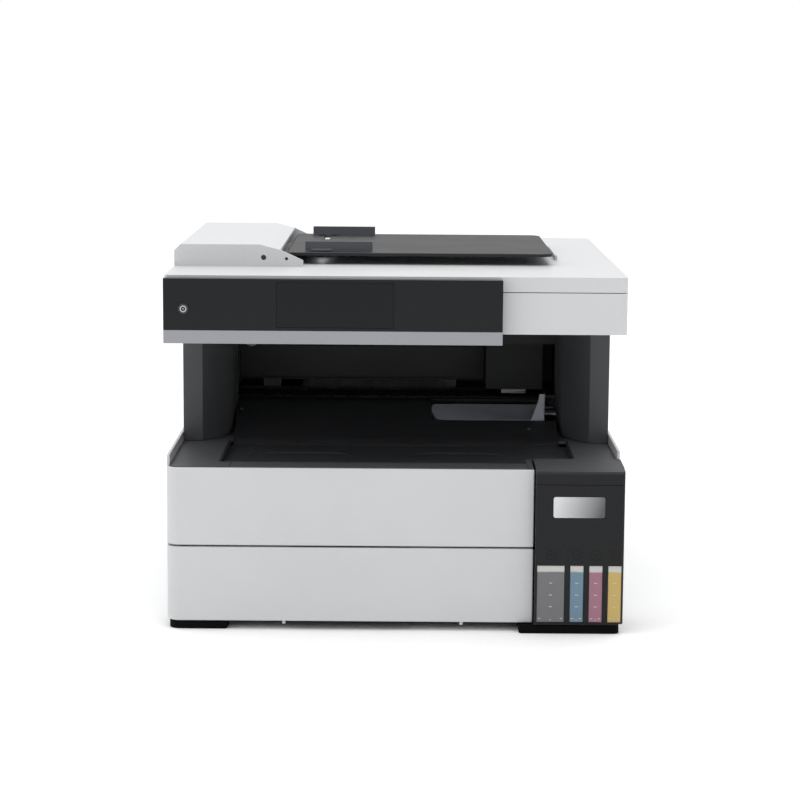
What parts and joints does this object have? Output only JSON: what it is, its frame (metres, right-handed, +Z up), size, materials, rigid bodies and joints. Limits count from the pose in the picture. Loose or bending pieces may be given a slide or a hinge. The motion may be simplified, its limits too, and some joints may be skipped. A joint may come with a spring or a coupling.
{
  "type": "inkjet printer",
  "caption": "Inkjet multifunction printer with two paper cassettes, refillable ink tanks behind a windowed front, an output bay between pillars, a lifting scanner unit, a tilting panel and a do",
  "frame": {"origin": "on the standing surface, under the middle of the machine's width and depth", "axes": "+Z up, front towards -Y, +X to the right seen from the front"},
  "size_m": [0.428, 0.5, 0.355],
  "materials": {
    "light_plastic": "fine-textured moulded light grey ABS",
    "black_plastic": "moulded black polystyrene, fine texture",
    "deck_plastic": "moulded charcoal ABS, fine texture",
    "foot_plastic": "black feet with soft pads",
    "gloss_black": "satin black ABS",
    "grey_plastic": "moulded dark grey ABS",
    "zinc_steel": "zinc plated sheet steel",
    "coated_steel": "sheet steel, black powder coat",
    "belt_rubber": "black rubber",
    "white_acetal": "natural acetal",
    "head_metal": "anodised plate",
    "smoked_plastic": "smoked translucent polycarbonate",
    "tube_plastic": "silicone tube filled with ink",
    "ink_black": "translucent tank, black ink",
    "ink_cyan": "translucent tank, cyan ink",
    "ink_magenta": "translucent tank, magenta ink",
    "ink_yellow": "translucent tank, yellow ink",
    "cap_black": "moulded cap",
    "cap_cyan": "moulded cap",
    "cap_magenta": "moulded cap",
    "cap_yellow": "moulded cap",
    "circuit_board": "solder-resist coated board",
    "clear_glass": "float glass",
    "screen_glass": "cover glass over a dark display",
    "white_foam": "white foam pad"
  },
  "bodies": {
    "chassis": {"base_frame": "black_plastic", "feet": "foot_plastic", "left_side_cover": "light_plastic", "right_side_cover": "light_plastic", "rear_panel": "light_plastic", "top_deck": "deck_plastic", "pillars": "deck_plastic", "paper_guide": "black_plastic", "engine_hood": "black_plastic", "rail_frame": "coated_steel", "drive_belts": "belt_rubber", "drive_motors": "zinc_steel", "ink_tube_cover": "smoked_plastic", "ink_tubes": "tube_plastic", "tank_housing": "gloss_black", "black_tank": "ink_black", "cyan_tank": "ink_cyan", "magenta_tank": "ink_magenta", "yellow_tank": "ink_yellow", "main_board": "circuit_board", "power_supply": "zinc_steel", "output_tray": "black_plastic"},
    "cassette_1": {"cassette_1_tray": "black_plastic", "cassette_1_front": "light_plastic"},
    "c1_left_guide": {"cassette_1_left_guide": "grey_plastic"},
    "c1_right_guide": {"cassette_1_right_guide": "grey_plastic"},
    "cassette_2": {"cassette_2_tray": "black_plastic", "cassette_2_front": "light_plastic"},
    "c2_left_guide": {"cassette_2_left_guide": "grey_plastic"},
    "c2_right_guide": {"cassette_2_right_guide": "grey_plastic"},
    "lid": {"tank_lid": "gloss_black"},
    "cap_black": {"black_cap": "cap_black"},
    "cap_cyan": {"cyan_cap": "cap_cyan"},
    "cap_magenta": {"magenta_cap": "cap_magenta"},
    "cap_yellow": {"yellow_cap": "cap_yellow"},
    "waste_box": {"maintenance_box": "grey_plastic"},
    "back_door": {"rear_door": "light_plastic"},
    "flap": {"output_flap": "deck_plastic"},
    "carriage": {"print_carriage": "black_plastic", "print_head": "head_metal"},
    "motor_pulley": {"motor_pulley": "white_acetal"},
    "idler_pulley": {"idler_pulley": "white_acetal"},
    "feed_roller": {"feed_roller": "zinc_steel"},
    "exit_roller": {"exit_roller": "belt_rubber"},
    "pickup_1": {"pickup_roller_1": "belt_rubber"},
    "pickup_2": {"pickup_roller_2": "belt_rubber"},
    "scanner": {"scanner_base": "light_plastic", "scanner_frame": "light_plastic", "scan_glass": "clear_glass"},
    "scan_bar": {"scan_bar": "black_plastic"},
    "panel": {"panel_housing": "gloss_black", "touch_screen": "screen_glass"},
    "power_button": {"power_button": "gloss_black"},
    "cover": {"document_cover": "light_plastic", "cover_pad": "white_foam"},
    "feeder_cover": {"adf_cover": "light_plastic"},
    "feeder_tray": {"adf_tray": "black_plastic"},
    "feeder_front_guide": {"adf_front_guide": "grey_plastic"},
    "feeder_rear_guide": {"adf_rear_guide": "grey_plastic"},
    "feeder_roller": {"adf_roller": "belt_rubber"}
  },
  "joints": [
    {"name": "cassette_1_slide", "type": "slide", "parent": "chassis", "child": "cassette_1", "axis": [0, -1, 0], "range_m": [0, 0.23]},
    {"name": "cassette_1_left_guide_slide", "type": "slide", "parent": "cassette_1", "child": "c1_left_guide", "axis": [1, 0, 0], "range_m": [0, 0.04]},
    {"name": "cassette_1_right_guide_slide", "type": "slide", "parent": "cassette_1", "child": "c1_right_guide", "axis": [-1, 0, 0], "range_m": [0, 0.04]},
    {"name": "cassette_2_slide", "type": "slide", "parent": "chassis", "child": "cassette_2", "axis": [0, -1, 0], "range_m": [0, 0.23]},
    {"name": "cassette_2_left_guide_slide", "type": "slide", "parent": "cassette_2", "child": "c2_left_guide", "axis": [1, 0, 0], "range_m": [0, 0.04]},
    {"name": "cassette_2_right_guide_slide", "type": "slide", "parent": "cassette_2", "child": "c2_right_guide", "axis": [-1, 0, 0], "range_m": [0, 0.04]},
    {"name": "tank_lid_hinge", "type": "hinge", "parent": "chassis", "child": "lid", "pos_m": [0, -0.193, 0.153], "axis": [-1, 0, 0], "range_deg": [0, 80]},
    {"name": "black_cap_hinge", "type": "hinge", "parent": "chassis", "child": "cap_black", "pos_m": [0.14595, -0.206, 0.1267], "axis": [-1, 0, 0], "range_deg": [0, 95]},
    {"name": "cyan_cap_hinge", "type": "hinge", "parent": "chassis", "child": "cap_cyan", "pos_m": [0.17025, -0.206, 0.1267], "axis": [-1, 0, 0], "range_deg": [0, 95]},
    {"name": "magenta_cap_hinge", "type": "hinge", "parent": "chassis", "child": "cap_magenta", "pos_m": [0.18795, -0.206, 0.1267], "axis": [-1, 0, 0], "range_deg": [0, 95]},
    {"name": "yellow_cap_hinge", "type": "hinge", "parent": "chassis", "child": "cap_yellow", "pos_m": [0.20565, -0.206, 0.1267], "axis": [-1, 0, 0], "range_deg": [0, 95]},
    {"name": "maintenance_box_slide", "type": "slide", "parent": "chassis", "child": "waste_box", "axis": [0, 1, 0], "range_m": [0, 0.105]},
    {"name": "rear_door_hinge", "type": "hinge", "parent": "chassis", "child": "back_door", "pos_m": [-0.042, 0.244, 0.0415], "axis": [-1, 0, 0], "range_deg": [0, 60]},
    {"name": "output_flap_hinge", "type": "hinge", "parent": "chassis", "child": "flap", "pos_m": [0, -0.2356, 0.1535], "axis": [1, 0, 0], "range_deg": [0, 100]},
    {"name": "carriage_slide", "type": "slide", "parent": "chassis", "child": "carriage", "axis": [-1, 0, 0], "range_m": [0, 0.25]},
    {"name": "motor_pulley_spin", "type": "hinge", "parent": "chassis", "child": "motor_pulley", "pos_m": [-0.157, 0.12, 0.233], "axis": [0, 1, 0], "continuous": true},
    {"name": "idler_pulley_spin", "type": "hinge", "parent": "chassis", "child": "idler_pulley", "pos_m": [0.143, 0.12, 0.233], "axis": [0, 1, 0], "continuous": true},
    {"name": "feed_roller_spin", "type": "hinge", "parent": "chassis", "child": "feed_roller", "pos_m": [0, 0.112, 0.1754], "axis": [1, 0, 0], "continuous": true},
    {"name": "exit_roller_spin", "type": "hinge", "parent": "chassis", "child": "exit_roller", "pos_m": [0, 0.048, 0.1754], "axis": [1, 0, 0], "continuous": true},
    {"name": "pickup_roller_1_spin", "type": "hinge", "parent": "chassis", "child": "pickup_1", "pos_m": [0, 0.092, 0.1411], "axis": [1, 0, 0], "continuous": true},
    {"name": "pickup_roller_2_spin", "type": "hinge", "parent": "chassis", "child": "pickup_2", "pos_m": [0, 0.092, 0.0683], "axis": [1, 0, 0], "continuous": true},
    {"name": "scanner_lift", "type": "hinge", "parent": "chassis", "child": "scanner", "pos_m": [0, 0.232, 0.271], "axis": [-1, 0, 0], "range_deg": [0, 28]},
    {"name": "scan_bar_slide", "type": "slide", "parent": "scanner", "child": "scan_bar", "axis": [1, 0, 0], "range_m": [0, 0.3]},
    {"name": "panel_tilt", "type": "hinge", "parent": "scanner", "child": "panel", "pos_m": [0, -0.2439, 0.3275], "axis": [-1, 0, 0], "range_deg": [0, 45]},
    {"name": "power_button_press", "type": "slide", "parent": "panel", "child": "power_button", "axis": [0, 1, 0], "range_m": [0, 0.0008], "stiffness_N_per_m": 400, "springref_m": -0.0005},
    {"name": "document_cover_hinge", "type": "hinge", "parent": "scanner", "child": "cover", "pos_m": [0, 0.235, 0.3252], "axis": [-1, 0, 0], "range_deg": [0, 70]},
    {"name": "feeder_cover_hinge", "type": "hinge", "parent": "cover", "child": "feeder_cover", "pos_m": [-0.2118, 0.005, 0.3365], "axis": [0, -1, 0], "range_deg": [0, 70]},
    {"name": "feeder_tray_hinge", "type": "hinge", "parent": "cover", "child": "feeder_tray", "pos_m": [-0.106, 0.005, 0.3415], "axis": [0, -1, 0], "range_deg": [0, 60]},
    {"name": "feeder_front_guide_slide", "type": "slide", "parent": "feeder_tray", "child": "feeder_front_guide", "axis": [0, 1, 0], "range_m": [0, 0.05]},
    {"name": "feeder_rear_guide_slide", "type": "slide", "parent": "feeder_tray", "child": "feeder_rear_guide", "axis": [0, -1, 0], "range_m": [0, 0.05]},
    {"name": "feeder_roller_spin", "type": "hinge", "parent": "cover", "child": "feeder_roller", "pos_m": [-0.128, 0.005, 0.3426], "axis": [0, 1, 0], "continuous": true}
  ],
  "couplings": [
    {"joint": "cassette_1_right_guide_slide", "follows": "cassette_1_left_guide_slide", "ratio": 1},
    {"joint": "cassette_2_right_guide_slide", "follows": "cassette_2_left_guide_slide", "ratio": 1},
    {"joint": "feeder_rear_guide_slide", "follows": "feeder_front_guide_slide", "ratio": 1},
    {"joint": "motor_pulley_spin", "follows": "carriage_slide", "rad_per_m": 131.58},
    {"joint": "idler_pulley_spin", "follows": "carriage_slide", "rad_per_m": 131.58},
    {"joint": "exit_roller_spin", "follows": "feed_roller_spin", "ratio": 1}
  ]
}
